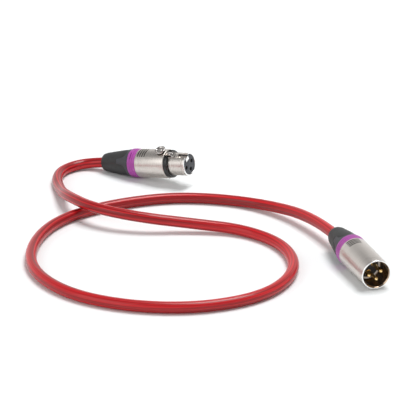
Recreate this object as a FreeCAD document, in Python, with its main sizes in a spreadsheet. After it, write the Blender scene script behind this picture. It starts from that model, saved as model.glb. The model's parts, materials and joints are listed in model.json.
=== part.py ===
"""Balanced audio lead: a socket connector and a plug connector joined by one loop of round cable.

Units are millimetres, +Z is up and the floor is z = 0. Each connector is drawn in its own
frame: local Z is its axis, pointing out of its mouth, with zero at the step where the coding
ring meets the shell, and local X points at its key. One Placement lays each connector down.
"""
import FreeCAD, Part
import math
import os

import Sketcher

Vector = FreeCAD.Vector

DIMENSIONS = [
    # name, value, what it is
    ("cord_radius", 3.6, "jacket of the cable"),
    ("jacket_inset", 15, "how far behind the step the jacket ends, inside the clamp"),
    ("shell_radius", 10.1, "body of both shells, and the coding rings"),
    ("shell_bore", 7.1, "bore that holds the contact carrier"),
    ("neck_radius", 7.9, "threaded neck behind the step"),
    ("neck_length", 15, "threaded neck behind the step"),
    ("groove_start", 1.6, "first grip groove, in front of the step"),
    ("groove_width", 0.9, "one grip groove"),
    ("groove_depth", 1, "grip groove at its middle"),
    ("ring_length", 6.3, "coding ring"),
    ("gap", 0.3, "running clearance of ring and bushing round the neck"),
    ("bushing_radius", 9.7, "front of the bushing"),
    ("bushing_rear", 17.3, "where the bushing's visible cone ends"),
    ("bushing_rear_radius", 8.2, "end of the bushing's visible cone"),
    ("stem_rear", 26, "end of the bushing's stem, inside the boot"),
    ("stem_front_radius", 6.9, "bushing's stem"),
    ("stem_rear_radius", 5.8, "bushing's stem"),
    ("boot_rear", 31.3, "end of the boot"),
    ("boot_front_radius", 7.95, "front of the boot"),
    ("boot_rear_radius", 6.2, "boot before its rounded end"),
    ("boot_bore", 3.9, "hole for the cable"),
    ("boot_mouth", 4.6, "flared end of the hole for the cable"),
    ("chuck_rear", 24, "end of the clamp's claws"),
    ("chuck_front_radius", 6.8, "collar of the clamp, inside the neck"),
    ("chuck_claw_radius", 4.8, "clamp at the end of its claws"),
    ("chuck_room", 5.4, "hollow of the clamp where the cores fan out"),
    ("nose_start", 23.6, "end of the socket shell's body"),
    ("nose_radius", 7.95, "nose that enters the mating plug"),
    ("nose_relief", 7.75, "nose beside the latch hook, which never touches the mating plug"),
    ("socket_length", 39.5, "socket shell, from step to mouth"),
    ("socket_face", 39.1, "front face of the socket carrier"),
    ("collar_radius", 9.7, "black collar round the base of the nose"),
    ("collar_length", 3, "black collar round the base of the nose"),
    ("plug_length", 37, "plug shell, from step to mouth"),
    ("plug_mouth_radius", 9.5, "outside of the plug's mouth"),
    ("plug_bore", 8.15, "cavity that takes the mating nose"),
    ("plug_face", 22.4, "floor of the plug's cavity"),
    ("contact_circle", 4, "radius of the circle the contacts stand on"),
    ("pin_radius", 1.2, "contact pin"),
    ("pin_shank", 1.6, "thicker part of a contact pin, held by the carrier"),
    ("pin_tip", 35.2, "tip of the contact pins"),
    ("socket_bore", 1.25, "hole in a socket contact"),
    ("socket_radius", 1.7, "outside of a socket contact"),
    ("socket_tip", 37.6, "front of the socket contacts"),
    ("socket_bottom", 24, "bottom of the hole in a socket contact"),
    ("entry_radius", 1.45, "holes in the socket carrier's face"),
    ("cup_end", 3, "rear end of the solder cups"),
    ("cup_floor", 6, "bottom of the solder cups"),
    ("cup_radius", 1.5, "outside of a solder cup"),
    ("cup_bore", 1, "inside of a solder cup"),
    ("carrier_rear", 8, "rear face of both contact carriers"),
    ("key_half_width", 2.1, "half the width of key and keyway"),
    ("key_floor", 2.5, "lower side of the socket's key block"),
    ("key_top", 5.9, "upper side of the socket's key block"),
    ("key_start", 31, "rear of the socket's key block"),
    ("arm_low", 7.3, "underside of the latch arm"),
    ("arm_high", 8.9, "top of the latch arm"),
    ("arm_half_width", 2, "half the width of the latch arm"),
    ("arm_end", 30.4, "front end of the latch arm"),
    ("hook_height", 9.3, "top of the latch hook"),
    ("pivot_height", 8.1, "centre of the latch trunnion"),
    ("pivot_position", 10.2, "centre of the latch trunnion, in front of the step"),
    ("pivot_radius", 0.9, "latch trunnion"),
    ("button_position", 19.9, "centre of the latch button, in front of the step"),
    ("button_radius", 3.9, "latch button"),
    ("button_top", 12.6, "top of the latch button"),
    ("core_radius", 0.9, "insulated core"),
]

doc = FreeCAD.newDocument("balanced_audio_lead")
sheet = doc.addObject("Spreadsheet::Sheet", "Dims")
for row, (alias, number, note) in enumerate(DIMENSIONS, start=1):
    sheet.set(f"A{row}", alias)
    sheet.set(f"B{row}", str(number))
    sheet.set(f"C{row}", note)
    sheet.setAlias(f"B{row}", alias)
doc.recompute()

# Where the connectors lie: the step's centre, the heading of the mouth from +X in degrees,
# how far the mouth is raised, and how far the key is turned from straight up.
PLUG_AT = Vector(48, -94, 10.1)
PLUG_HEADING = -90
PLUG_ROLL = 14
SOCKET_XY = (-34, 104)
SOCKET_HEADING = -48
SOCKET_TILT = 9
SOCKET_ROLL = 22

# Grip grooves of each shell, and the distance from one to the next.
GROOVES = 4
GROOVE_PITCH = 1.8

FINISHED = []


def dim(alias):
    """The number in one cell of the sheet."""
    return float(sheet.get(alias))


def placement(at, heading, tilt, roll):
    """A connector's placement: local Z along its axis, local X towards its key."""
    heading, tilt, roll = (math.radians(angle) for angle in (heading, tilt, roll))
    axis = Vector(
        math.cos(tilt) * math.cos(heading), math.cos(tilt) * math.sin(heading), math.sin(tilt)
    )
    side = axis.cross(Vector(0, 0, 1)).normalize()
    key = side.cross(axis) * math.cos(roll) + side * math.sin(roll)
    return FreeCAD.Placement(at, FreeCAD.Rotation(key, axis.cross(key), axis, "ZXY"))


def resting_height(tilt):
    """Height of the socket's step when the rear edge of its coding ring touches the floor."""
    tilt = math.radians(tilt)
    return dim("shell_radius") * math.cos(tilt) + dim("ring_length") * math.sin(tilt)


PLUG = placement(PLUG_AT, PLUG_HEADING, 0, PLUG_ROLL)
SOCKET = placement(
    Vector(*SOCKET_XY, resting_height(SOCKET_TILT)), SOCKET_HEADING, SOCKET_TILT, SOCKET_ROLL
)


def finish(item, label, where):
    """Name a finished sub-part and lay it where its connector lies."""
    item.Label = label
    item.Placement = where
    FINISHED.append(item)
    return item


def number_of(expression):
    """What FreeCAD makes of an expression on the sheet."""
    answer = sheet.evalExpression(expression)
    return float(getattr(answer, "Value", answer))


def sketch_on(body, role, name, offset="0"):
    """An empty sketch on one of a body's origin planes, moved along its normal by offset."""
    sketch = body.newObject("Sketcher::SketchObject", name)
    plane = next(item for item in body.Origin.OriginFeatures if item.Role == role)
    sketch.AttachmentSupport = (plane, [""])
    sketch.MapMode = "FlatFace"
    sketch.setExpression("AttachmentOffset.Base.z", offset)
    return sketch


def outline(sketch, corners):
    """A closed outline of straight lines, each corner bound to two expressions."""
    points = [Vector(number_of(x), number_of(y), 0) for x, y in corners]
    for start, end in zip(points, points[1:] + points[:1]):
        sketch.addGeometry(Part.LineSegment(start, end), False)
    for line in range(len(points)):
        after = (line + 1) % len(points)
        sketch.addConstraint(Sketcher.Constraint("Coincident", line, 2, after, 1))
    for line, (corner, point) in enumerate(zip(corners, points)):
        sides = (("DistanceX", -2, corner[0], point.x), ("DistanceY", -1, corner[1], point.y))
        for kind, axis_line, expression, distance in sides:
            if abs(distance) < 1e-9:
                sketch.addConstraint(Sketcher.Constraint("PointOnObject", line, 1, axis_line))
            else:
                rule = Sketcher.Constraint(kind, -1, 1, line, 1, distance)
                index = sketch.addConstraint(rule)
                sketch.setExpression(f"Constraints[{index}]", expression)
    return sketch


def circle(sketch, x, y, radius):
    """A circle whose centre and radius are bound to expressions."""
    centre = Vector(number_of(x), number_of(y), 0)
    shape = Part.Circle(centre, Vector(0, 0, 1), number_of(radius))
    index = sketch.addGeometry(shape, False)
    sides = (("DistanceX", -2, x, centre.x), ("DistanceY", -1, y, centre.y))
    for kind, axis_line, expression, distance in sides:
        if abs(distance) < 1e-9:
            sketch.addConstraint(Sketcher.Constraint("PointOnObject", index, 3, axis_line))
        else:
            rule = Sketcher.Constraint(kind, -1, 1, index, 3, distance)
            sketch.setExpression(f"Constraints[{sketch.addConstraint(rule)}]", expression)
    rule = Sketcher.Constraint("Radius", index, number_of(radius))
    sketch.setExpression(f"Constraints[{sketch.addConstraint(rule)}]", radius)
    return sketch


def turned(name, corners):
    """A body turned about its axis from (radius, position) corners."""
    body = doc.addObject("PartDesign::Body", name)
    profile = outline(sketch_on(body, "XZ_Plane", name + "_profile"), corners)
    turn = body.newObject("PartDesign::Revolution", name + "_turn")
    turn.Profile = profile
    turn.ReferenceAxis = (profile, ["V_Axis"])
    turn.Angle = 360
    doc.recompute()
    return body


def volume_step(body, feature, want):
    """Recompute, and check that a feature added or removed material as it should."""
    before = feature.BaseFeature.Shape.Volume
    doc.recompute()
    change = feature.Shape.Volume - before
    if change * want <= 0:
        raise RuntimeError(f"{feature.Name} on {body.Name} changed the volume by {change:.4f}")
    return feature


def cut_outwards(body, sketch, depth):
    """A pocket from a sketch on the YZ plane, cut towards +X."""
    pocket = body.newObject("PartDesign::Pocket", sketch.Name + "_cut")
    pocket.Profile = sketch
    pocket.Type = "Length"
    pocket.setExpression("Length", depth)
    pocket.Reversed = True
    return volume_step(body, pocket, -1)


def cut_across(body, sketch, width):
    """A pocket from a sketch on the XZ plane, cut both ways along Y."""
    pocket = body.newObject("PartDesign::Pocket", sketch.Name + "_cut")
    pocket.Profile = sketch
    pocket.Type = "Length"
    pocket.setExpression("Length", width)
    pocket.Midplane = True
    return volume_step(body, pocket, -1)


def box_cut(body, name, half_width, low, rear, front, depth):
    """Cut a straight slot of the given half width, outwards from height low."""
    sketch = sketch_on(body, "YZ_Plane", name, low)
    corners = [
        (f"-({half_width})", rear),
        (half_width, rear),
        (half_width, front),
        (f"-({half_width})", front),
    ]
    return cut_outwards(body, outline(sketch, corners), depth)


def pad_block(body, name, half_width, low, rear, front, height):
    """Add a straight block of the given half width, outwards from radius low."""
    sketch = sketch_on(body, "YZ_Plane", name, low)
    corners = [
        (f"-({half_width})", rear),
        (half_width, rear),
        (half_width, front),
        (f"-({half_width})", front),
    ]
    pad = body.newObject("PartDesign::Pad", name + "_pad")
    pad.Profile = outline(sketch, corners)
    pad.setExpression("Length", height)
    return volume_step(body, pad, 1)


def pad_across(name, corners, width):
    """A body made from an outline on the XZ plane, with width shared both ways along Y."""
    body = doc.addObject("PartDesign::Body", name)
    profile = outline(sketch_on(body, "XZ_Plane", name + "_profile"), corners)
    pad = body.newObject("PartDesign::Pad", name + "_pad")
    pad.Profile = profile
    pad.setExpression("Length", width)
    pad.Midplane = True
    doc.recompute()
    return body


def contact_place(number):
    """Where contact 1, 2 or 3 stands, as signs of the contact circle along X and Y."""
    return {1: (0, 1), 2: (0, -1), 3: (-1, 0)}[number]


def contact_holes(body, name, radius, rear, depth):
    """The three holes of a contact carrier, from position rear forwards."""
    sketch = sketch_on(body, "XY_Plane", name, rear)
    for number in (1, 2, 3):
        x, y = contact_place(number)
        circle(sketch, f"{x} * Dims.contact_circle", f"{y} * Dims.contact_circle", radius)
    pocket = body.newObject("PartDesign::Pocket", name + "_cut")
    pocket.Profile = sketch
    pocket.Type = "Length"
    pocket.setExpression("Length", depth)
    pocket.Reversed = True
    return volume_step(body, pocket, -1)


def grip_grooves(body):
    """Flat-bottomed grooves in a row across the top of a shell."""
    first, last = "Dims.groove_start", "Dims.groove_start + Dims.groove_width"
    sketch = sketch_on(body, "YZ_Plane", body.Name + "_grip", "Dims.shell_radius - Dims.groove_depth")
    corners = [("-5", first), ("5", first), ("5", last), ("-5", last)]
    groove = cut_outwards(body, outline(sketch, corners), "2")
    row = body.newObject("PartDesign::LinearPattern", body.Name + "_grip_row")
    row.Originals = [groove]
    row.Direction = (sketch, ["V_Axis"])
    row.Length = GROOVE_PITCH * (GROOVES - 1)
    row.Occurrences = GROOVES
    body.Tip = row
    doc.recompute()
    return row


def socket_shell():
    """Die-cast shell of the socket: neck, body, nose, key block and latch windows."""
    body = turned("SocketShell", [
        ("Dims.shell_bore", "-Dims.neck_length"),
        ("Dims.neck_radius", "-Dims.neck_length"),
        ("Dims.neck_radius", "0"),
        ("Dims.shell_radius - 0.4", "0"),
        ("Dims.shell_radius", "0.4"),
        ("Dims.shell_radius", "Dims.nose_start - 0.5"),
        ("Dims.shell_radius - 0.5", "Dims.nose_start"),
        ("Dims.nose_relief", "Dims.nose_start"),
        ("Dims.nose_relief", "Dims.key_start - 0.3"),
        ("Dims.nose_radius", "Dims.key_start - 0.1"),
        ("Dims.nose_radius", "Dims.socket_length - 0.4"),
        ("Dims.nose_radius - 0.4", "Dims.socket_length"),
        ("Dims.shell_bore", "Dims.socket_length"),
    ])
    grip_grooves(body)
    # the closed channel over the latch arm, then its open window along the nose
    slot = "Dims.arm_half_width + Dims.gap"
    box_cut(body, "Channel", slot, "0", "8.6", "Dims.nose_start", "9.3")
    box_cut(body, "HookWindow", slot, "0", "Dims.nose_start - 0.01", "Dims.key_start", "12")
    stem = circle(sketch_on(body, "YZ_Plane", "StemHole"), "0", "Dims.button_position", "3.1")
    cut_outwards(body, stem, "12")
    bearing = circle(
        sketch_on(body, "XZ_Plane", "Bearing"),
        "Dims.pivot_height", "Dims.pivot_position", "Dims.pivot_radius + 0.25",
    )
    cut_across(body, bearing, "6.8")
    # key block: a web joins it to the nose, and the mating key rib passes over it
    half = "Dims.key_half_width"
    pad_block(body, "KeyWeb", half, "Dims.key_floor", "Dims.key_start", "Dims.key_start + 2",
              "7.5 - Dims.key_floor")
    pad_block(body, "KeyBlock", half, "Dims.key_floor", "Dims.key_start", "Dims.socket_length - 0.1",
              "Dims.key_top - Dims.key_floor")
    box_cut(body, "KeySlot", half, "Dims.key_top", "Dims.key_start + 2", "Dims.socket_length + 1", "4")
    finish(body, "socket_shell", SOCKET)


def socket_carrier():
    """Plastic carrier of the three socket contacts, open on top for key, latch and spring."""
    body = turned("SocketCarrier", [
        ("0", "Dims.carrier_rear"),
        ("Dims.shell_bore", "Dims.carrier_rear"),
        ("Dims.shell_bore", "Dims.socket_face - 0.3"),
        ("Dims.shell_bore - 0.3", "Dims.socket_face"),
        ("0", "Dims.socket_face"),
    ])
    contact_holes(body, "Contacts", "Dims.socket_radius", "Dims.carrier_rear",
                  "Dims.socket_tip - Dims.carrier_rear")
    contact_holes(body, "Entries", "Dims.entry_radius", "Dims.carrier_rear", "40")
    slot = "Dims.arm_half_width + Dims.gap"
    box_cut(body, "SpringRoom", slot, "4.3", "Dims.carrier_rear - 1", "Dims.key_start", "4")
    box_cut(body, "Keyway", "Dims.key_half_width + 0.1", "Dims.key_floor - 0.1",
            "Dims.key_start - 0.1", "Dims.socket_face + 1", "6")
    finish(body, "socket_contact_carrier", SOCKET)


def collar():
    """Black collar round the base of the nose, notched for the latch arm."""
    body = turned("Collar", [
        ("Dims.nose_relief", "Dims.nose_start"),
        ("Dims.collar_radius", "Dims.nose_start"),
        ("Dims.collar_radius", "Dims.nose_start + Dims.collar_length - 0.6"),
        ("Dims.collar_radius - 0.6", "Dims.nose_start + Dims.collar_length"),
        ("Dims.nose_relief", "Dims.nose_start + Dims.collar_length"),
    ])
    box_cut(body, "CollarNotch", "Dims.arm_half_width + Dims.gap", "0", "Dims.nose_start - 1",
            "Dims.nose_start + 4", "12")
    finish(body, "nose_collar", SOCKET)


def socket_contact(number):
    """One gold-plated socket contact with a solder cup behind."""
    body = turned(f"SocketContact{number}", [
        ("0", "Dims.cup_floor"),
        ("Dims.cup_bore", "Dims.cup_floor"),
        ("Dims.cup_bore", "Dims.cup_end"),
        ("Dims.cup_radius", "Dims.cup_end"),
        ("Dims.cup_radius", "Dims.carrier_rear"),
        ("Dims.socket_radius", "Dims.carrier_rear"),
        ("Dims.socket_radius", "Dims.socket_tip"),
        ("Dims.socket_bore", "Dims.socket_tip"),
        ("Dims.socket_bore", "Dims.socket_bottom"),
        ("0", "Dims.socket_bottom"),
    ])
    place_contact(body, f"socket_contact_{number}", number, SOCKET)


def plug_pin(number):
    """One gold-plated contact pin with a solder cup behind."""
    body = turned(f"Pin{number}", [
        ("0", "Dims.cup_floor"),
        ("Dims.cup_bore", "Dims.cup_floor"),
        ("Dims.cup_bore", "Dims.cup_end"),
        ("Dims.cup_radius", "Dims.cup_end"),
        ("Dims.cup_radius", "Dims.carrier_rear"),
        ("Dims.pin_shank", "Dims.carrier_rear"),
        ("Dims.pin_shank", "Dims.plug_face"),
        ("Dims.pin_radius", "Dims.plug_face"),
        ("Dims.pin_radius", "Dims.pin_tip - 0.9"),
        ("Dims.pin_radius - 0.3", "Dims.pin_tip - 0.25"),
        ("0.45", "Dims.pin_tip"),
        ("0", "Dims.pin_tip"),
    ])
    place_contact(body, f"plug_pin_{number}", number, PLUG)


def place_contact(body, label, number, where):
    """Stand a contact on its place of the contact circle."""
    x, y = contact_place(number)
    radius = dim("contact_circle")
    step = FreeCAD.Placement(Vector(x * radius, y * radius, 0), FreeCAD.Rotation())
    finish(body, label, where.multiply(step))


def latch_lever():
    """Sprung latch: trunnion at the rear, push button in the middle, hook in front."""
    arm = pad_across("LatchArm", [
        ("Dims.arm_low", "Dims.pivot_position - 1.1"),
        ("Dims.arm_high", "Dims.pivot_position - 1.1"),
        ("Dims.arm_high", "27.4"),
        ("Dims.hook_height", "28.2"),
        ("Dims.hook_height", "29.2"),
        ("Dims.arm_high - 0.5", "Dims.arm_end"),
        ("Dims.arm_low", "Dims.arm_end"),
    ], "2 * Dims.arm_half_width")
    trunnion = doc.addObject("Part::Cylinder", "Trunnion")
    trunnion.setExpression("Radius", "Dims.pivot_radius")
    trunnion.Height = 6.2
    trunnion.Placement = FreeCAD.Placement(
        Vector(dim("pivot_height"), -3.1, dim("pivot_position")), FreeCAD.Rotation(Vector(1, 0, 0), -90)
    )
    button = turned("Button", [
        ("0", "Dims.arm_low"),
        ("2", "Dims.arm_low"),
        ("2", "Dims.arm_high"),
        ("2.5", "Dims.arm_high + 0.3"),
        ("2.6", "Dims.shell_radius + 1.15"),
        ("Dims.button_radius - 0.3", "Dims.button_top - 1.2"),
        ("Dims.button_radius", "Dims.button_top - 0.8"),
        ("Dims.button_radius", "Dims.button_top - 0.2"),
        ("Dims.button_radius - 0.3", "Dims.button_top"),
        ("Dims.button_radius - 0.8", "Dims.button_top"),
        ("Dims.button_radius - 1.4", "Dims.button_top - 0.5"),
        ("0", "Dims.button_top - 0.6"),
    ])
    button.Placement = FreeCAD.Placement(
        Vector(0, 0, dim("button_position")), FreeCAD.Rotation(Vector(0, 1, 0), 90)
    )
    lever = doc.addObject("Part::MultiFuse", "LatchLever")
    lever.Shapes = [arm, trunnion, button]
    doc.recompute()
    finish(lever, "latch_lever", SOCKET)


def latch_spring():
    """Bent leaf under the latch arm."""
    body = pad_across("LatchSpring", [
        ("4.35", "11"), ("4.35", "21.6"), ("7.2", "14"), ("7.2", "12.6"),
        ("6.9", "12.6"), ("6.9", "13.9"), ("4.65", "20"), ("4.65", "11"),
    ], "3")
    finish(body, "latch_spring", SOCKET)


def plug_shell():
    """Die-cast shell of the plug: neck, tapered barrel, cavity, key rib and latch recess."""
    body = turned("PlugShell", [
        ("Dims.shell_bore", "-Dims.neck_length"),
        ("Dims.neck_radius", "-Dims.neck_length"),
        ("Dims.neck_radius", "0"),
        ("Dims.shell_radius - 0.4", "0"),
        ("Dims.shell_radius", "0.4"),
        ("Dims.shell_radius - 0.1", "12"),
        ("Dims.plug_mouth_radius", "Dims.plug_length - 0.4"),
        ("Dims.plug_mouth_radius - 0.4", "Dims.plug_length"),
        ("Dims.plug_bore + 0.2", "Dims.plug_length"),
        ("Dims.plug_bore", "Dims.plug_length - 0.3"),
        ("Dims.plug_bore", "Dims.plug_face"),
        ("Dims.shell_bore", "Dims.plug_face"),
    ])
    grip_grooves(body)
    pad_block(body, "KeyRib", "1.9", "6.3", "Dims.plug_face", "Dims.plug_face + 6", "2.4")
    box_cut(body, "LatchRecess", "2.6", "6.5", "31.6", "34.4", "2.5")
    finish(body, "plug_shell", PLUG)


def plug_carrier():
    """Plastic carrier of the three contact pins."""
    body = turned("PlugCarrier", [
        ("0", "Dims.carrier_rear"),
        ("Dims.shell_bore", "Dims.carrier_rear"),
        ("Dims.shell_bore", "Dims.plug_face"),
        ("0", "Dims.plug_face"),
    ])
    contact_holes(body, "PinHoles", "Dims.pin_shank", "Dims.carrier_rear", "20")
    finish(body, "plug_contact_carrier", PLUG)


def cable_chuck(prefix, where):
    """Clamp of one connector: a collar in the neck and claws that grip the jacket."""
    body = turned(prefix.capitalize() + "Chuck", [
        ("Dims.chuck_room", "Dims.carrier_rear - 5.5"),
        ("Dims.chuck_front_radius", "Dims.carrier_rear - 5.5"),
        ("Dims.chuck_front_radius", "-9"),
        ("5.75", "-Dims.jacket_inset"),
        ("Dims.chuck_claw_radius", "-Dims.chuck_rear"),
        ("Dims.cord_radius", "-Dims.chuck_rear"),
        ("Dims.cord_radius", "-Dims.jacket_inset"),
        ("Dims.chuck_room", "-Dims.jacket_inset"),
    ])
    slits = outline(sketch_on(body, "XZ_Plane", prefix + "Slits"), [
        ("3", "-Dims.chuck_rear - 1"), ("8", "-Dims.chuck_rear - 1"),
        ("8", "-Dims.jacket_inset - 0.5"), ("3", "-Dims.jacket_inset - 0.5"),
    ])
    slit = cut_across(body, slits, "0.8")
    ring = body.newObject("PartDesign::PolarPattern", prefix + "Claws")
    ring.Originals = [slit]
    ring.Axis = (slits, ["V_Axis"])
    ring.Angle = 360
    ring.Occurrences = 4
    body.Tip = ring
    doc.recompute()
    finish(body, f"{prefix}_cable_chuck", where)


def coding_ring(prefix, where):
    """Coloured ring held between shell and bushing."""
    body = turned(prefix.capitalize() + "Ring", [
        ("Dims.neck_radius + Dims.gap", "-Dims.ring_length"),
        ("Dims.shell_radius - 0.2", "-Dims.ring_length"),
        ("Dims.shell_radius", "0.2 - Dims.ring_length"),
        ("Dims.shell_radius", "-0.2"),
        ("Dims.shell_radius - 0.2", "0"),
        ("Dims.neck_radius + Dims.gap", "0"),
    ])
    finish(body, f"{prefix}_coding_ring", where)


def bushing(prefix, where):
    """Screwed bushing: visible cone, threaded bore, and a stem whose throat closes the clamp."""
    body = turned(prefix.capitalize() + "Bushing", [
        ("Dims.neck_radius + Dims.gap", "-Dims.ring_length"),
        ("Dims.bushing_radius", "-Dims.ring_length"),
        ("Dims.bushing_rear_radius", "-Dims.bushing_rear"),
        ("Dims.stem_front_radius", "-Dims.bushing_rear"),
        ("Dims.stem_rear_radius", "-Dims.stem_rear"),
        ("Dims.stem_rear_radius - 0.7", "-Dims.stem_rear"),
        ("6.05", "-Dims.neck_length - Dims.gap"),
        ("Dims.neck_radius + Dims.gap", "-Dims.neck_length - Dims.gap"),
    ])
    finish(body, f"{prefix}_bushing", where)


def boot(prefix, where):
    """Rubber boot moulded over the bushing's stem."""
    body = turned(prefix.capitalize() + "Boot", [
        ("Dims.stem_front_radius", "-Dims.bushing_rear"),
        ("Dims.boot_front_radius", "-Dims.bushing_rear"),
        ("Dims.boot_rear_radius", "2 - Dims.boot_rear"),
        ("Dims.boot_rear_radius - 0.45", "0.9 - Dims.boot_rear"),
        ("Dims.boot_rear_radius - 1.2", "-Dims.boot_rear"),
        ("Dims.boot_mouth", "-Dims.boot_rear"),
        ("Dims.boot_bore", "2 - Dims.boot_rear"),
        ("Dims.boot_bore", "-Dims.stem_rear"),
        ("Dims.stem_rear_radius", "-Dims.stem_rear"),
    ])
    finish(body, f"{prefix}_boot", where)


def rounded_path(points):
    """Straight runs joined by tangent arcs, each as large as its two runs allow."""
    edges, start = [], points[0]
    for before, corner, after in zip(points, points[1:], points[2:]):
        back, ahead = before - corner, after - corner
        turn = math.pi - back.getAngle(ahead)
        tangent = 0.45 * min(back.Length, ahead.Length)
        back.normalize()
        ahead.normalize()
        enter, leave = corner + back * tangent, corner + ahead * tangent
        radius = tangent / math.tan(turn / 2)
        sagitta = radius / math.cos(turn / 2) - radius
        middle = corner + (back + ahead).normalize() * sagitta
        edges.append(Part.LineSegment(start, enter).toShape())
        edges.append(Part.Arc(enter, middle, leave).toShape())
        print(f"  turn {math.degrees(turn):5.1f} deg, radius {radius:6.1f} mm")
        start = leave
    edges.append(Part.LineSegment(start, points[-1]).toShape())
    return Part.Wire(edges)


def tube(label, points, radius):
    """A round cord along a rounded path, as a Part::Feature."""
    print(label)
    path = rounded_path(points)
    start_face = Part.Wire([Part.Circle(points[0], points[1] - points[0], radius).toShape()])
    solid = path.makePipeShell([start_face], True, False)
    wanted = math.pi * radius**2 * path.Length
    print(f"  length {path.Length:.1f} mm, volume {solid.Volume:.1f} of {wanted:.1f} mm3")
    if abs(solid.Volume / wanted - 1) > 0.01:
        raise RuntimeError(f"{label} has the wrong volume")
    item = doc.addObject("Part::Feature", label)
    item.Shape = solid
    finish(item, label, FreeCAD.Placement())


def along(where, position, x=0, y=0):
    """A point of a connector's own frame, in the part's frame."""
    return where.multVec(Vector(x, y, position))


def cable_jacket():
    """The cable: out of the plug, round one open loop, over itself and into the socket."""
    floor = dim("cord_radius")
    route = [
        (26, 23, floor), (-20, 51, floor), (-68, 51, floor), (-110, 35, floor),
        (-136, 1, floor), (-148, -43, floor), (-136, -87, floor), (-104, -118, floor),
        (-62, -133, floor), (-19, -126, floor), (10, -95, floor), (17, -55, floor),
        (1, -21, floor), (-30, -6, 6), (-64, 3, 11), (-90, 24, 13), (-99, 55, 11),
        (-99, 84, floor), (-102, 115, floor), (-89, 132, floor),
    ]
    points = [along(PLUG, -dim("jacket_inset")), along(PLUG, -62)]
    points += [Vector(*point) for point in route]
    points += [along(SOCKET, -42), along(SOCKET, -dim("jacket_inset"))]
    tube("cable_jacket", points, floor)


def inner_cores(prefix, where):
    """Two insulated cores and the twisted shield, fanned out from jacket to solder cups."""
    jacket_end = -dim("jacket_inset") + 0.1
    cup = dim("cup_floor")
    for number, name in ((1, "shield_drain"), (2, "hot_core"), (3, "cold_core")):
        x, y = contact_place(number)
        near, far = 1.5, dim("contact_circle")
        points = [
            along(where, jacket_end, x * near, y * near),
            along(where, jacket_end + 4, x * near, y * near),
            along(where, cup - 4, x * far, y * far),
            along(where, cup, x * far, y * far),
        ]
        tube(f"{prefix}_{name}", points, dim("core_radius"))


socket_shell()
socket_carrier()
collar()
latch_lever()
latch_spring()
plug_shell()
plug_carrier()
for contact in (1, 2, 3):
    socket_contact(contact)
    plug_pin(contact)
for side, lies in (("socket", SOCKET), ("plug", PLUG)):
    cable_chuck(side, lies)
    coding_ring(side, lies)
    bushing(side, lies)
    boot(side, lies)
    inner_cores(side, lies)
cable_jacket()
doc.recompute()

for item in doc.Objects:
    if {"Invalid", "Error"} & set(item.State):
        raise RuntimeError(f"{item.Label} did not recompute: {item.State}")
for item in FINISHED:
    if item.Shape.isNull() or not item.Shape.isValid():
        raise RuntimeError(f"{item.Label} has no valid shape")
os.makedirs("parts", exist_ok=True)
for item in FINISHED:
    item.Shape.exportStep(f"parts/{item.Label}.step")
    print(f"{item.Label}: {len(item.Shape.Solids)} solid, {item.Shape.Volume:.1f} mm3")
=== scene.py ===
"""Looks of the balanced audio lead: its two connectors, its red cable, and the white table it lies on.

Each connector's pieces are drawn in the connector's own frame, in millimetres: local Z runs out of
the mouth from the step behind the shell, and local X points at the key.
"""

import json
import math

import bmesh
import bpy
from mathutils import Matrix, Vector


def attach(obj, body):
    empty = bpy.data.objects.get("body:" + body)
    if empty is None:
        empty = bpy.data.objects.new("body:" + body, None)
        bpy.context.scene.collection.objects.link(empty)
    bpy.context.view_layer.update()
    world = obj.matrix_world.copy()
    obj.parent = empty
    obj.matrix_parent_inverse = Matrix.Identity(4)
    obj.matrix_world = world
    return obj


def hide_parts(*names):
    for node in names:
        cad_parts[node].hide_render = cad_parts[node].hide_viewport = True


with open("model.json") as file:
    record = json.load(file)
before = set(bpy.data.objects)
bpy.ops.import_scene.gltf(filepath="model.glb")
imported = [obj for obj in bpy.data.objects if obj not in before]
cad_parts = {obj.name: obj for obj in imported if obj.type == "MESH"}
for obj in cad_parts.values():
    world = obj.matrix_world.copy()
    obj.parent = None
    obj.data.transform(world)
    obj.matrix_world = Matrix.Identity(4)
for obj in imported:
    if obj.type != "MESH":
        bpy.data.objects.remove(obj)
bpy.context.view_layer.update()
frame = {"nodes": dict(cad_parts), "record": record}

MM = 0.001
MOUNTS = {mount["name"]: mount for mount in frame["record"]["mounts"]}


def connector_place(mouth_mount, distance, key_mount, key_sign):
    """A connector's matrix, from a mount on its axis and one that points at or away from its key."""
    axis = Vector(MOUNTS[mouth_mount]["axis"]).normalized()
    key = Vector(MOUNTS[key_mount]["axis"]).normalized() * key_sign
    origin = Vector(MOUNTS[mouth_mount]["pos_m"]) - axis * distance * MM
    turn = Matrix((key, axis.cross(key), axis)).transposed().to_4x4()
    return Matrix.Translation(origin) @ turn


SOCKET = connector_place("socket_nose", 35, "latch_hook", 1)
PLUG = connector_place("plug_cavity", 36.5, "latch_recess", -1)

CABLE_RADIUS = 3.6
SHELL_RADIUS = 10.1
NOSE_RADIUS = 7.95
NECK_RADIUS = 7.9
CARRIER_RADIUS = 7.08
CONTACTS = ((0, 4), (0, -4), (-4, 0))
CAVITY_FLOOR = 22.4
BOOT_MOUTH = -31.3
BUTTON_POSITION = 19.9
GROOVE_STARTS = (1.6, 3.4, 5.2, 7.0)
GROOVE_WIDTH = 0.9
GROOVE_FLOOR = 9.1
GROOVE_END_ANGLE = 24
"""Below the slant at which a groove's flat floor meets the shell, so that its ends stay crisp."""


# ---------------------------------------------------------------- mesh helpers

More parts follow.
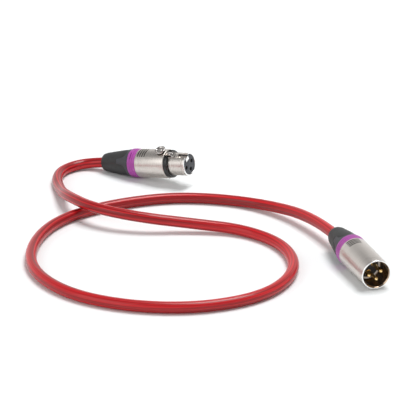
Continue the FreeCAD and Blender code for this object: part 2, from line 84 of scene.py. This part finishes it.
def rounded(corners, chords=4):
    """The closed outline through (radius, position) corners; a third number rounds its corner."""
    points = []
    for index, corner in enumerate(corners):
        here = Vector(corner[:2])
        if len(corner) == 2:
            points.append(here)
            continue
        back = (Vector(corners[index - 1][:2]) - here).normalized()
        ahead = (Vector(corners[(index + 1) % len(corners)][:2]) - here).normalized()
        half = back.angle(ahead) / 2
        centre = here + (back + ahead).normalized() * corner[2] / math.sin(half)
        start = here + back * corner[2] / math.tan(half) - centre
        end = here + ahead * corner[2] / math.tan(half) - centre
        for chord in range(chords + 1):
            spoke = start.slerp(end, chord / chords).normalized()
            points.append(centre + spoke * corner[2])
    return points


def new_piece(name, mesh_data, place):
    """Turn a bmesh in local millimetres into an object at a connector's place."""
    bmesh.ops.recalc_face_normals(mesh_data, faces=mesh_data.faces)
    bmesh.ops.scale(mesh_data, vec=(MM, MM, MM), verts=mesh_data.verts)
    mesh = bpy.data.meshes.new(name)
    mesh_data.to_mesh(mesh)
    mesh_data.free()
    piece = bpy.data.objects.new(name, mesh)
    bpy.context.scene.collection.objects.link(piece)
    piece.matrix_world = place
    return piece


def turned(outline, steps=128):
    """A turned bmesh. outline is a list of corners, or a function of the angle that gives one."""
    mesh_data = bmesh.new()
    rings = []
    for step in range(steps):
        angle = 2 * math.pi * step / steps
        corners = outline(angle) if callable(outline) else outline
        direction = Vector((math.cos(angle), math.sin(angle), 0))
        ring = [mesh_data.verts.new(direction * r + Vector((0, 0, w))) for r, w in rounded(corners)]
        rings.append(ring)
    count = len(rings[0])
    for ring, following in zip(rings, rings[1:] + rings[:1]):
        for index in range(count):
            after = (index + 1) % count
            mesh_data.faces.new((ring[index], following[index], following[after], ring[after]))
    bmesh.ops.remove_doubles(mesh_data, verts=mesh_data.verts, dist=1e-4)
    bmesh.ops.dissolve_degenerate(mesh_data, edges=mesh_data.edges, dist=1e-4)
    return mesh_data


def lathe(name, outline, place, steps=128):
    """A turned piece about a connector's axis."""
    return new_piece(name, turned(outline, steps), place)


def slab(outline, half_width):
    """A bmesh from an outline of (height, position) corners, spread both ways across the key."""
    mesh_data = bmesh.new()
    near = [mesh_data.verts.new((x, -half_width, w)) for x, w in outline]
    far = [mesh_data.verts.new((x, half_width, w)) for x, w in outline]
    mesh_data.faces.new(near)
    mesh_data.faces.new(far[::-1])
    count = len(outline)
    for index in range(count):
        after = (index + 1) % count
        mesh_data.faces.new((near[index], far[index], far[after], near[after]))
    return mesh_data


def sector(inner, outer, low, high, half_angle, steps=24):
    """A bmesh of a curved bar that spans half_angle degrees to each side of the key."""
    mesh_data = bmesh.new()
    rings = []
    for step in range(steps + 1):
        angle = math.radians(half_angle) * (2 * step / steps - 1)
        corners = ((inner, low), (outer, low), (outer, high), (inner, high))
        rings.append([mesh_data.verts.new((r * math.cos(angle), r * math.sin(angle), w))
                      for r, w in corners])
    for ring, following in zip(rings, rings[1:]):
        for index in range(4):
            after = (index + 1) % 4
            mesh_data.faces.new((ring[index], following[index], following[after], ring[after]))
    mesh_data.faces.new(rings[0])
    mesh_data.faces.new(rings[-1])
    return mesh_data


def block(low, high, soft=0.0):
    """A box between two corners, in local millimetres, as a bmesh; soft rounds its edges."""
    mesh_data = bmesh.new()
    size = Vector(high) - Vector(low)
    bmesh.ops.create_cube(mesh_data, size=1)
    bmesh.ops.scale(mesh_data, vec=size, verts=mesh_data.verts)
    bmesh.ops.translate(mesh_data, vec=Vector(low) + size / 2, verts=mesh_data.verts)
    if soft:
        bmesh.ops.bevel(
            mesh_data, geom=mesh_data.edges[:], offset=soft, segments=3, affect="EDGES", profile=0.5
        )
    return mesh_data


def rod(start, end, radius, steps=48):
    """A cylinder between two points, in local millimetres, as a bmesh."""
    mesh_data = bmesh.new()
    start, end = Vector(start), Vector(end)
    bmesh.ops.create_cone(
        mesh_data, cap_ends=True, segments=steps, radius1=radius, radius2=radius,
        depth=(end - start).length,
    )
    turn = (end - start).to_track_quat("Z", "Y").to_matrix()
    bmesh.ops.rotate(mesh_data, matrix=turn, verts=mesh_data.verts)
    bmesh.ops.translate(mesh_data, vec=(start + end) / 2, verts=mesh_data.verts)
    return mesh_data


def combine(piece, tools, operation="DIFFERENCE"):
    """Cut the tools out of a piece, or join them to it, and drop them."""
    bpy.context.view_layer.update()
    for tool in tools:
        helper = new_piece("tool", tool, piece.matrix_world)
        modifier = piece.modifiers.new("combine", "BOOLEAN")
        modifier.operation = operation
        modifier.solver = "EXACT"
        modifier.object = helper
        apply_modifiers(piece)
        bpy.data.objects.remove(helper)


def apply_modifiers(piece):
    """Keep what a piece's modifiers make as its mesh."""
    graph = bpy.context.evaluated_depsgraph_get()
    made = bpy.data.meshes.new_from_object(piece.evaluated_get(graph))
    piece.modifiers.clear()
    piece.data = made


def soften(piece, width=0.12):
    """Round every sharp edge a little, and shade the rest smooth."""
    bevel = piece.modifiers.new("edges", "BEVEL")
    bevel.width = width * MM
    bevel.segments = 2
    bevel.limit_method = "ANGLE"
    bevel.angle_limit = math.radians(35)
    bevel.use_clamp_overlap = True
    apply_modifiers(piece)
    smooth(piece)


def smooth(piece, angle=40):
    """Shade smooth, with edges sharper than angle kept sharp."""
    piece.data.polygons.foreach_set("use_smooth", [True] * len(piece.data.polygons))
    piece.data.set_sharp_from_angle(angle=math.radians(angle))


def mark(piece, name, rule):
    """Put a number on every face: 1 where rule(radius, position, outwards) holds, 0 elsewhere."""
    marks = []
    for face in piece.data.polygons:
        x, y, w = face.center / MM
        radius = math.hypot(x, y)
        outwards = (face.normal.x * x + face.normal.y * y) / max(radius, 0.001)
        marks.append(float(rule(radius, w, outwards)))
    layer = piece.data.attributes.new(name, "FLOAT", "FACE")
    layer.data.foreach_set("value", marks)


def settled(piece):
    """Move a piece's place into its mesh, and keep each point's own coordinates for its material."""
    own = piece.data.attributes.new("own", "FLOAT_VECTOR", "POINT")
    own.data.foreach_set("vector", [number for vertex in piece.data.vertices for number in vertex.co])
    piece.data.transform(piece.matrix_world)
    piece.matrix_world = Matrix.Identity(4)


def finished(piece, material, body, slot, *nodes):
    """Give a piece its material, its body and the CAD nodes it stands for."""
    settled(piece)
    piece.data.materials.clear()
    piece.data.materials.append(material)
    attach(piece, body)
    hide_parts(*nodes)


# ---------------------------------------------------------------- materials

def new_material(name, **values):
    """A material with a Principled shader whose inputs are set by name; returns it and its tree."""
    material = bpy.data.materials.new(name)
    material.use_nodes = True
    shader = material.node_tree.nodes["Principled BSDF"]
    for key, value in values.items():
        shader.inputs[key.replace("_", " ")].default_value = value
    return material, material.node_tree, shader


def add(tree, kind, links=(), values=(), **settings):
    """A node with settings; links go into its inputs, values are put on them, both by name or index."""
    node = tree.nodes.new(kind)
    for key, value in settings.items():
        setattr(node, key, value)
    for key, value in dict(values).items():
        node.inputs[key].default_value = value
    for key, output in dict(links).items():
        tree.links.new(output, node.inputs[key])
    return node


def noise(tree, scale, detail=4):
    """Noise that is alike in every direction; scale is per metre."""
    place = add(tree, "ShaderNodeTexCoord").outputs["Object"]
    texture = add(tree, "ShaderNodeTexNoise", {"Vector": place},
                  {"Scale": scale, "Detail": detail, "Roughness": 0.6})
    return texture.outputs["Fac"]


def own_place(tree):
    """The piece's own coordinates, whose Z is its connector's axis."""
    return add(tree, "ShaderNodeAttribute", attribute_name="own").outputs["Vector"]


def ring_noise(tree):
    """Noise drawn out into fine rings round the piece's own axis."""
    mapping = add(tree, "ShaderNodeMapping", {"Vector": own_place(tree)}, {"Scale": (1, 1, 90)})
    texture = add(tree, "ShaderNodeTexNoise", {"Vector": mapping.outputs[0]},
                  {"Scale": 90, "Detail": 3, "Roughness": 0.6})
    return texture.outputs["Fac"]


def ranged(tree, value, low, high, spread=0.2):
    """Map a noise to low and high, from spread below its middle to spread above it."""
    node = add(tree, "ShaderNodeMapRange", {"Value": value},
               {"From Min": 0.5 - spread, "From Max": 0.5 + spread, "To Min": low, "To Max": high})
    return node.outputs[0]


def blended(tree, value, first, second, spread=0.2):
    """A colour between two, by a noise."""
    factor = ranged(tree, value, 0, 1, spread)
    node = add(tree, "ShaderNodeMix", {"Factor": factor}, data_type="RGBA")
    node.inputs["A"].default_value = (*first, 1)
    node.inputs["B"].default_value = (*second, 1)
    return node.outputs["Result"]


def bumped(tree, shader, height, distance, strength=0.5):
    """Feed a height to the shader's normal; distance is in millimetres."""
    node = add(tree, "ShaderNodeBump", {"Height": height},
               {"Distance": distance * MM, "Strength": strength})
    tree.links.new(node.outputs[0], shader.inputs["Normal"])


def plain_surface(name, first, second, rough, grain, bump, **values):
    """A moulded or coated surface: two close colours, uneven roughness and a fine grain."""
    material, tree, shader = new_material(name, **values)
    cloud = noise(tree, 120)
    fine = noise(tree, grain, detail=2)
    tree.links.new(blended(tree, cloud, first, second), shader.inputs["Base Color"])
    tree.links.new(ranged(tree, fine, *rough), shader.inputs["Roughness"])
    bumped(tree, shader, fine, bump)
    return material


def shell_metal():
    """Satin nickel, with a painted highlight and a smoother finish on the marked rim faces, and painted
    shade on the marked cavity and groove faces.
    """
    material, tree, shader = new_material("satin_nickel")
    rings = ring_noise(tree)
    colour = blended(tree, rings, (0.54, 0.495, 0.46), (0.73, 0.69, 0.65), 0.25)
    rough = ranged(tree, rings, 0.24, 0.4)
    # Each mark paints over the nickel's colour: a near-white painted highlight, with a smoother finish, on
    # the rim faces; a dark brown painted shade inside the cavity; a dark grey painted shade, with a
    # rougher finish, in the grip grooves.
    for name, paint, finish in (
        ("polish_and_highlight", (0.93, 0.92, 0.91, 1), 0.14),
        ("cavity_shade", (0.46, 0.355, 0.26, 1), 0.2),
        ("groove", (0.17, 0.16, 0.15, 1), 0.45),
    ):
        marked = add(tree, "ShaderNodeAttribute", attribute_name=name).outputs["Fac"]
        painted = add(tree, "ShaderNodeMix", {"Factor": marked, "A": colour}, data_type="RGBA")
        painted.inputs["B"].default_value = paint
        colour = painted.outputs["Result"]
        rough = add(tree, "ShaderNodeMix", {"Factor": marked, "A": rough}, {"B": finish}).outputs["Result"]
    tree.links.new(colour, shader.inputs["Base Color"])
    tree.links.new(rough, shader.inputs["Roughness"])
    shader.inputs["Metallic"].default_value = 1.0
    bumped(tree, shader, rings, 0.08, 0.3)
    return material


def ribbed_purple():
    """Purple plastic with a fine knurl round the ring."""
    material, tree, shader = new_material("ring_purple")
    axes = add(tree, "ShaderNodeSeparateXYZ", {"Vector": own_place(tree)})
    angle = add(tree, "ShaderNodeMath", {0: axes.outputs["Y"], 1: axes.outputs["X"]}, operation="ARCTAN2")
    turns = add(tree, "ShaderNodeMath", {0: angle.outputs[0]}, {1: 72.0}, operation="MULTIPLY")
    wave = add(tree, "ShaderNodeMath", {0: turns.outputs[0]}, operation="SINE")
    along = add(tree, "ShaderNodeMath", {0: axes.outputs["Z"]}, {1: 9000.0}, operation="MULTIPLY")
    cross = add(tree, "ShaderNodeMath", {0: along.outputs[0]}, operation="SINE")
    knurl = add(tree, "ShaderNodeMath", {0: wave.outputs[0], 1: cross.outputs[0]}, operation="MULTIPLY")
    colour = blended(tree, noise(tree, 120), (0.34, 0.05, 0.31), (0.42, 0.07, 0.385))
    tree.links.new(colour, shader.inputs["Base Color"])
    tree.links.new(ranged(tree, noise(tree, 2500, detail=2), 0.36, 0.5), shader.inputs["Roughness"])
    bumped(tree, shader, knurl.outputs[0], 0.05, 0.5)
    return material


def turned_metal(name, first, second, rough, bump):
    """Metal with the fine rings that turning and brushing leave round its axis."""
    material, tree, shader = new_material(name, Metallic=1.0)
    rings = ring_noise(tree)
    tree.links.new(blended(tree, noise(tree, 150), first, second), shader.inputs["Base Color"])
    tree.links.new(ranged(tree, rings, *rough), shader.inputs["Roughness"])
    bumped(tree, shader, rings, bump, 0.25)
    return material


def jacket_material():
    """Glossy red PVC, with faint lines along it where the cores show through."""
    material, tree, shader = new_material(
        "jacket_red", Coat_Weight=0.25, Coat_Roughness=0.1, Specular_IOR_Level=0.3,
    )
    around = add(tree, "ShaderNodeAttribute", attribute_name="around").outputs["Vector"]
    lines = add(tree, "ShaderNodeMapping", {"Vector": around}, {"Scale": (1, 1, 1.6)})
    streaks = add(tree, "ShaderNodeTexNoise", {"Vector": lines.outputs[0]},
                  {"Scale": 3.4, "Detail": 2, "Roughness": 0.5}).outputs["Fac"]
    fine = add(tree, "ShaderNodeTexNoise", {"Vector": around},
               {"Scale": 60, "Detail": 2}).outputs["Fac"]
    colour = blended(tree, streaks, (0.22, 0.001, 0.003), (0.56, 0.008, 0.013), 0.1)
    tree.links.new(colour, shader.inputs["Base Color"])
    tree.links.new(ranged(tree, fine, 0.3, 0.42), shader.inputs["Roughness"])
    bumped(tree, shader, streaks, 0.15, 0.6)
    return material


JACKET = jacket_material()
NICKEL = shell_metal()
CHROME = turned_metal("polished_chrome", (0.46, 0.43, 0.41), (0.56, 0.53, 0.51), (0.08, 0.16), 0.02)
GOLD = turned_metal("gold_plate", (0.92, 0.64, 0.26), (0.98, 0.74, 0.36), (0.12, 0.22), 0.02)
CONTACT_GOLD = plain_surface("contact_gold", (0.92, 0.64, 0.26), (0.98, 0.74, 0.36), (0.15, 0.25), 1500,
                             0.02, Metallic=1.0)
STEEL = plain_surface("spring_steel", (0.5, 0.5, 0.5), (0.6, 0.6, 0.6), (0.25, 0.35), 1500, 0.02,
                      Metallic=1.0)
COPPER = plain_surface("bare_copper", (0.7, 0.36, 0.2), (0.82, 0.46, 0.28), (0.3, 0.45), 1500, 0.05,
                       Metallic=1.0)
PURPLE = ribbed_purple()
BUSHING = plain_surface("bushing_plastic", (0.035, 0.037, 0.044), (0.05, 0.053, 0.06), (0.4, 0.55),
                        3000, 0.04)
RUBBER = plain_surface("boot_rubber", (0.016, 0.017, 0.017), (0.03, 0.031, 0.031), (0.5, 0.68), 2200, 0.08)
CARRIER = plain_surface("carrier_plastic", (0.03, 0.032, 0.04), (0.045, 0.048, 0.058), (0.38, 0.5),
                        2600, 0.03)
GLOSS_BLACK = plain_surface("collar_gloss", (0.008, 0.008, 0.009), (0.016, 0.016, 0.017), (0.14, 0.22),
                            1500, 0.02)
NYLON = plain_surface("chuck_nylon", (0.62, 0.62, 0.58), (0.72, 0.71, 0.67), (0.4, 0.5), 1800, 0.03)
CORE_RED = plain_surface("core_red", (0.5, 0.03, 0.03), (0.6, 0.05, 0.04), (0.3, 0.4), 1800, 0.02)
CORE_WHITE = plain_surface("core_white", (0.7, 0.7, 0.7), (0.8, 0.8, 0.78), (0.3, 0.4), 1800, 0.02)


# ---------------------------------------------------------------- the cable

def cable_route():
    """Control points of the cable's centreline, in metres, from the plug to the socket."""
    floor = CABLE_RADIUS
    points = [
        (26, 23, floor), (-20, 51, floor), (-68, 51, floor), (-110, 35, floor),
        (-136, 1, floor), (-148, -43, floor), (-136, -87, floor), (-104, -118, floor),
        (-62, -133, floor), (-19, -126, floor), (10, -95, floor), (17, -55, floor),
        (1, -21, floor), (-30, -6, 6), (-64, 3, 11), (-90, 24, 13), (-99, 55, 11),
        (-97, 86, floor), (-94, 113, floor), (-83, 130, floor),
    ]
    route = [PLUG @ Vector((0, 0, -15 * MM)), PLUG @ Vector((0, 0, -62 * MM))]
    route += [Vector(point) * MM for point in points]
    route += [SOCKET @ Vector((0, 0, -42 * MM)), SOCKET @ Vector((0, 0, -15 * MM))]
    return route


def smooth_line(route):
    """Points along the NURBS spline that has the route as its control points."""
    curve = bpy.data.curves.new("cable_line", "CURVE")
    curve.dimensions = "3D"
    curve.resolution_u = 16
    spline = curve.splines.new("NURBS")
    spline.points.add(len(route) - 1)
    for point, place in zip(spline.points, route):
        point.co = (*place, 1)
    spline.order_u = 3
    spline.use_endpoint_u = True
    helper = bpy.data.objects.new("cable_line", curve)
    bpy.context.scene.collection.objects.link(helper)
    mesh = bpy.data.meshes.new_from_object(helper)
    line = [vertex.co.copy() for vertex in mesh.vertices]
    bpy.data.objects.remove(helper)
    return line


def cable(radius=CABLE_RADIUS * MM, sides=40):
    """The jacket, as a tube round its line, with each point's place round and along it."""
    line = smooth_line(cable_route())
    mesh_data = bmesh.new()
    around = mesh_data.verts.layers.float_vector.new("around")
    heading = (line[1] - line[0]).normalized()
    up = heading.orthogonal().normalized()
    rings, distance = [], 0.0
    for index, centre in enumerate(line):
        before, after = line[max(index - 1, 0)], line[min(index + 1, len(line) - 1)]
        turned_heading = (after - before).normalized()
        up.rotate(heading.rotation_difference(turned_heading))
        heading = turned_heading
        distance += (centre - before).length
        ring = []
        for side in range(sides):
            angle = 2 * math.pi * side / sides
            spoke = up * math.cos(angle) + heading.cross(up) * math.sin(angle)
            vertex = mesh_data.verts.new(centre + spoke * radius)
            vertex[around] = (math.cos(angle), math.sin(angle), distance)
            ring.append(vertex)
        rings.append(ring)
    for ring, following in zip(rings, rings[1:]):
        for side in range(sides):
            after = (side + 1) % sides
            mesh_data.faces.new((ring[side], ring[after], following[after], following[side]))
    mesh_data.faces.new(rings[0][::-1])
    mesh_data.faces.new(rings[-1])
    mesh = bpy.data.meshes.new("cable")
    mesh_data.to_mesh(mesh)
    mesh_data.free()
    piece = bpy.data.objects.new("cable", mesh)
    bpy.context.scene.collection.objects.link(piece)
    smooth(piece, 60)
    finished(piece, JACKET, "lead", "jacket", "cable_jacket")


cable()


# ---------------------------------------------------------------- connector pieces

def shifted(place, x, y):
    """A connector's matrix, moved off its axis."""
    return place @ Matrix.Translation(Vector((x, y, 0)) * MM)


def trunnion(half_length, radius):
    """A bar across the key, where the latch lever turns."""
    middle, reach = Vector((8.1, 0, 10.2)), Vector((0, half_length, 0))
    return rod(middle - reach, middle + reach, radius)


def cut_grip(piece):
    """Cut the four grip grooves across the top of a shell."""
    combine(piece, [
        block((GROOVE_FLOOR, -6, start), (12, 6, start + GROOVE_WIDTH)) for start in GROOVE_STARTS
    ])
    smooth(piece, GROOVE_END_ANGLE)


def in_groove(radius, w):
    """Whether a face lies inside the grip grooves."""
    return GROOVE_STARTS[0] - 0.1 < w < 8 and 8.5 < radius < SHELL_RADIUS - 0.2


def socket_shell():
    """Socket shell: body, nose with its relief behind the rim, key block and latch openings."""
    piece = lathe("socket_shell_look", [
        (7.1, -15), (NECK_RADIUS, -15, 0.15), (NECK_RADIUS, 0), (SHELL_RADIUS, 0, 0.35),
        (SHELL_RADIUS, 23.6, 0.5), (7.75, 23.6), (7.75, 26.8), (NOSE_RADIUS, 27.0), (NOSE_RADIUS, 37.2),
        (7.75, 37.3), (7.75, 37.6), (NOSE_RADIUS, 37.7), (NOSE_RADIUS, 39.5, 0.35), (7.1, 39.5, 0.15),
    ], SOCKET, 160)
    combine(piece, [
        block((0, -2.3, 8.6), (9.3, 2.3, 23.61)),
        block((0, -2.1, 23.59), (12, 2.1, 30.7)),
        rod((5, 0, BUTTON_POSITION), (12, 0, BUTTON_POSITION), 3.1),
        trunnion(3.4, 1.15),
        sector(7.62, 9, 26.7, 36.4, 41),
    ])
    key = slab([(2.5, 31), (7.5, 31), (7.5, 33), (5.9, 33), (5.9, 39.4), (3.4, 39.4), (2.5, 38.3)], 2.1)
    combine(piece, [key], "UNION")
    combine(piece, [block((5.9, -2.1, 33), (12, 2.1, 41))])
    soften(piece, 0.1)
    cut_grip(piece)
    # Painted highlight on the nose's front faces, and painted shade in the grip grooves.
    mark(piece, "polish_and_highlight", lambda radius, w, outwards: w > 38.95)
    mark(piece, "groove", lambda radius, w, outwards: in_groove(radius, w))
    finished(piece, NICKEL, "lead", "nickel", "socket_shell")


def plug_shell():
    """Plug shell: tapered barrel, cavity with painted shade on its inner walls, key rib and latch recess.
    """
    piece = lathe("plug_shell_look", [
        (7.1, -15), (NECK_RADIUS, -15, 0.15), (NECK_RADIUS, 0), (SHELL_RADIUS, 0, 0.35), (10.0, 12),
        (9.5, 37, 0.3), (8.75, 37, 0.12), (8.15, 36.2), (8.15, CAVITY_FLOOR), (7.1, CAVITY_FLOOR),
    ], PLUG, 160)
    combine(piece, [block((6.5, -2.6, 31.6), (9.0, 2.6, 34.4))])
    combine(piece, [block((6.3, -1.9, CAVITY_FLOOR), (8.7, 1.9, 28.4), 0.15)], "UNION")
    soften(piece, 0.1)
    cut_grip(piece)
    # Painted highlight on the rim's front faces, and painted shade in the grip grooves and on the cavity's
    # inner walls.
    mark(piece, "polish_and_highlight", lambda radius, w, outwards: w > 36.75)
    mark(piece, "groove", lambda radius, w, outwards: in_groove(radius, w))
    mark(piece, "cavity_shade", lambda radius, w, outwards: outwards < -0.3 and w < 36.9)
    finished(piece, NICKEL, "lead", "nickel", "plug_shell")


def coding_ring(side, place):
    """Purple ring of three bands; the socket's has a short slit in it, beside the key."""
    def corners(angle):
        """The ring's section at an angle round the axis."""
        slit = side == "socket" and abs(angle - math.radians(21)) < math.radians(14)
        floor, edge = (9.0, -3.55) if slit else (9.85, -3.85)
        return [
            (8.2, -6.25), (10.05, -6.25, 0.3), (SHELL_RADIUS, -4.3, 0.08), (floor, -4.2),
            (floor, edge - 0.1), (SHELL_RADIUS, edge, 0.04), (SHELL_RADIUS, -2.45, 0.08), (9.85, -2.35),
            (9.85, -2.1), (SHELL_RADIUS, -2.0, 0.08), (10.05, -0.05, 0.3), (8.2, -0.05),
        ]
    piece = lathe(f"{side}_ring_look", corners, place, 180)
    smooth(piece, 30)
    finished(piece, PURPLE, f"{side}_ring", "coding_purple", f"{side}_coding_ring")


def bushing_radius(w):
    """Radius of the bushing's cone at a position."""
    return 9.7 + (w + 6.3) * (9.7 - 8.2) / 11


def bushing(side, place):
    """Screwed bushing, whose cone shows between the boot's tongues."""
    piece = lathe(f"{side}_bushing_look", [
        (8.2, -6.45), (9.72, -6.45, 0.3), (8.2, -17.3), (6.9, -17.3), (5.8, -26), (5.1, -26),
        (6.05, -15.3), (8.2, -15.3),
    ], place, 128)
    smooth(piece, 30)
    finished(piece, BUSHING, f"{side}_clamp", "bushing_grey", f"{side}_bushing")


def boot(side, place, tongues=4):
    """Rubber boot, with round-ended tongues that reach forward over the bushing."""
    def corners(angle):
        """The boot's section at an angle round the axis."""
        period = 2 * math.pi / tongues
        off_centre = abs((angle + period / 2) % period - period / 2) / (period * 0.36)
        reach = math.sqrt(1 - off_centre**3) if off_centre < 1 else 0.0
        front = -16.4 + 7.6 * reach
        skin = bushing_radius(front)
        return [
            (6.9, -17.3), (8.21, -17.3), (skin + 0.02, front), (skin + 0.16, front, 0.12),
            (8.3, -17.6), (6.65, -28.4, 3), (5.95, -30.6, 1), (5.1, BOOT_MOUTH + 0.05, 0.15),
            (4.75, BOOT_MOUTH), (4.2, -29.3), (4.2, -26), (5.8, -26),
        ]
    piece = lathe(f"{side}_boot_look", corners, place, 288)
    smooth(piece, 50)
    finished(piece, RUBBER, f"{side}_clamp", "boot_black", f"{side}_boot")


def nose_collar():
    """Glossy black collar round the root of the nose, open over the latch arm."""
    piece = lathe("nose_collar_look", [
        (7.8, 23.65), (9.7, 23.65, 0.25), (9.7, 26.6, 0.7), (7.98, 26.6, 0.1),
    ], SOCKET, 128)
    combine(piece, [block((5, -4.6, 22), (12, 3.3, 28))])
    soften(piece, 0.15)
    finished(piece, GLOSS_BLACK, "lead", "collar_black", "nose_collar")


def latch():
    """Latch lever: trunnion, arm with its hook, and the dished push button on its stem."""
    piece = new_piece("latch_look", slab([
        (7.3, 9.1), (8.9, 9.1), (8.9, 27.2), (9.3, 27.7), (9.3, 28.9), (7.9, 30.2), (7.3, 30.4),
    ], 2.0), SOCKET)
    button = turned([
        (0, 7.3), (2, 7.3), (2, 8.9), (2.5, 9.2), (2.5, 11.2, 0.1), (3.5, 11.45, 0.2),
        (3.9, 11.8, 0.2), (3.9, 12.6, 0.22), (3.2, 12.6, 0.2), (2.7, 12.05, 0.2), (1.1, 12.0),
        (0.9, 12.15), (0, 12.15),
    ], 96)
    turn = Matrix.Translation((0, 0, BUTTON_POSITION)) @ Matrix.Rotation(math.radians(90), 4, "Y")
    bmesh.ops.transform(button, matrix=turn, verts=button.verts)
    combine(piece, [trunnion(3.1, 0.9), button], "UNION")
    soften(piece, 0.1)
    finished(piece, CHROME, "latch", "chrome_latch", "latch_lever")


def contact_spots(radius, low, high):
    """Tools for the three holes of a contact carrier."""
    return [rod((x, y, low), (x, y, high), radius) for x, y in CONTACTS]


def carriers():
    """Contact carriers: the socket's face with its three holes, and the floor of the plug's cavity."""
    piece = lathe("socket_carrier_look", [
        (0, 8), (CARRIER_RADIUS, 8), (CARRIER_RADIUS, 39.1, 0.3), (0, 39.1),
    ], SOCKET)
    combine(piece, contact_spots(1.72, 7, 37.61) + contact_spots(1.45, 37, 41))
    combine(piece, [
        block((4.3, -2.3, 7), (8.3, 2.3, 31)), block((2.4, -2.2, 30.9), (8.4, 2.2, 40.5)),
    ])
    soften(piece, 0.14)
    finished(piece, CARRIER, "lead", "carrier_black", "socket_contact_carrier")
    piece = lathe("plug_carrier_look", [
        (0, 8), (CARRIER_RADIUS, 8), (CARRIER_RADIUS, CAVITY_FLOOR, 0.15), (0, CAVITY_FLOOR),
    ], PLUG)
    combine(piece, contact_spots(1.37, 7, 23))
    soften(piece, 0.1)
    finished(piece, CARRIER, "lead", "carrier_black", "plug_contact_carrier")


def pins():
    """Gold-plated contact pins with round noses."""
    for number, (x, y) in enumerate(CONTACTS, start=1):
        piece = lathe(f"pin_{number}_look", [
            (0, 6), (1, 6), (1, 3), (1.5, 3), (1.5, 8), (1.35, 8), (1.35, CAVITY_FLOOR),
            (1.2, CAVITY_FLOOR), (1.2, 34.5, 0.8), (0.55, 35.2, 0.25), (0, 35.2),
        ], shifted(PLUG, x, y), 64)
        smooth(piece)
        finished(piece, GOLD, "lead", "gold", f"plug_pin_{number}")


def paint_nodes():
    """Materials of the CAD nodes that keep their own shape."""
    paints = {"latch_spring": STEEL}
    for side in ("socket", "plug"):
        paints[f"{side}_cable_chuck"] = NYLON
        paints[f"{side}_hot_core"] = CORE_RED
        paints[f"{side}_cold_core"] = CORE_WHITE
        paints[f"{side}_shield_drain"] = COPPER
    for number in (1, 2, 3):
        paints[f"socket_contact_{number}"] = CONTACT_GOLD
    for name, paint in paints.items():
        materials = frame["nodes"][name].data.materials
        materials.clear()
        materials.append(paint)


socket_shell()
plug_shell()
nose_collar()
latch()
carriers()
pins()
for end, lies in (("socket", SOCKET), ("plug", PLUG)):
    coding_ring(end, lies)
    bushing(end, lies)
    boot(end, lies)
paint_nodes()


# ---------------------------------------------------------------- table, light and camera

TARGET = Vector((-7.7, 33.2, 0)) * MM


def around_target(azimuth, elevation, distance):
    """A place seen from the target at an azimuth (0 is towards -Y), an elevation and a distance."""
    azimuth, elevation = math.radians(azimuth), math.radians(elevation)
    level = math.cos(elevation)
    back = Vector((math.sin(azimuth) * level, -math.cos(azimuth) * level, math.sin(elevation)))
    return TARGET + back * distance


def aim(item, place):
    """Put a camera or light at a place, facing the target."""
    item.location = place
    item.rotation_mode = "QUATERNION"
    item.rotation_quaternion = (TARGET - place).to_track_quat("-Z", "Y")
    bpy.context.scene.collection.objects.link(item)


def table():
    """A white table top."""
    mesh_data = bmesh.new()
    bmesh.ops.create_grid(mesh_data, x_segments=1, y_segments=1, size=6)
    mesh = bpy.data.meshes.new("table")
    mesh_data.to_mesh(mesh)
    mesh_data.free()
    top = bpy.data.objects.new("table", mesh)
    bpy.context.scene.collection.objects.link(top)
    material, tree, shader = new_material("table_white", Roughness=0.8)
    shader.inputs["Base Color"].default_value = (0.87, 0.89, 0.895, 1)
    mesh.materials.append(material)


def softbox(name, azimuth, elevation, distance, size, power):
    """A square area light facing the target."""
    data = bpy.data.lights.new(name, "AREA")
    data.shape = "SQUARE"
    data.size = size
    data.energy = power
    aim(bpy.data.objects.new(name, data), around_target(azimuth, elevation, distance))


def studio():
    """A white room that is darker overhead, with soft boxes."""
    world = bpy.data.worlds.new("studio")
    world.use_nodes = True
    tree = world.node_tree
    backdrop = tree.nodes["Background"]
    backdrop.inputs["Color"].default_value = (1, 1, 1, 1)
    direction = add(tree, "ShaderNodeTexCoord").outputs["Generated"]
    height = add(tree, "ShaderNodeSeparateXYZ", {"Vector": direction}).outputs["Z"]
    level = add(tree, "ShaderNodeMapRange", {"Value": height},
                {"From Min": 0.2, "From Max": 0.85, "To Min": 1.0, "To Max": 0.15})
    tree.links.new(level.outputs[0], backdrop.inputs["Strength"])
    bpy.context.scene.world = world
    softbox("key", 110, 74, 2.4, 1.3, 50)
    softbox("fill", -70, 35, 1.8, 1.2, 6)


def camera():
    """The camera, at a low angle from the front left."""
    data = bpy.data.cameras.new("camera")
    data.sensor_width = 36
    data.lens = 173.1
    item = bpy.data.objects.new("camera", data)
    aim(item, around_target(-17.5, 21, 1.351))
    bpy.context.scene.camera = item


table()
studio()
camera()
bpy.context.scene.view_settings.view_transform = "Standard"

bpy.context.view_layer.update()
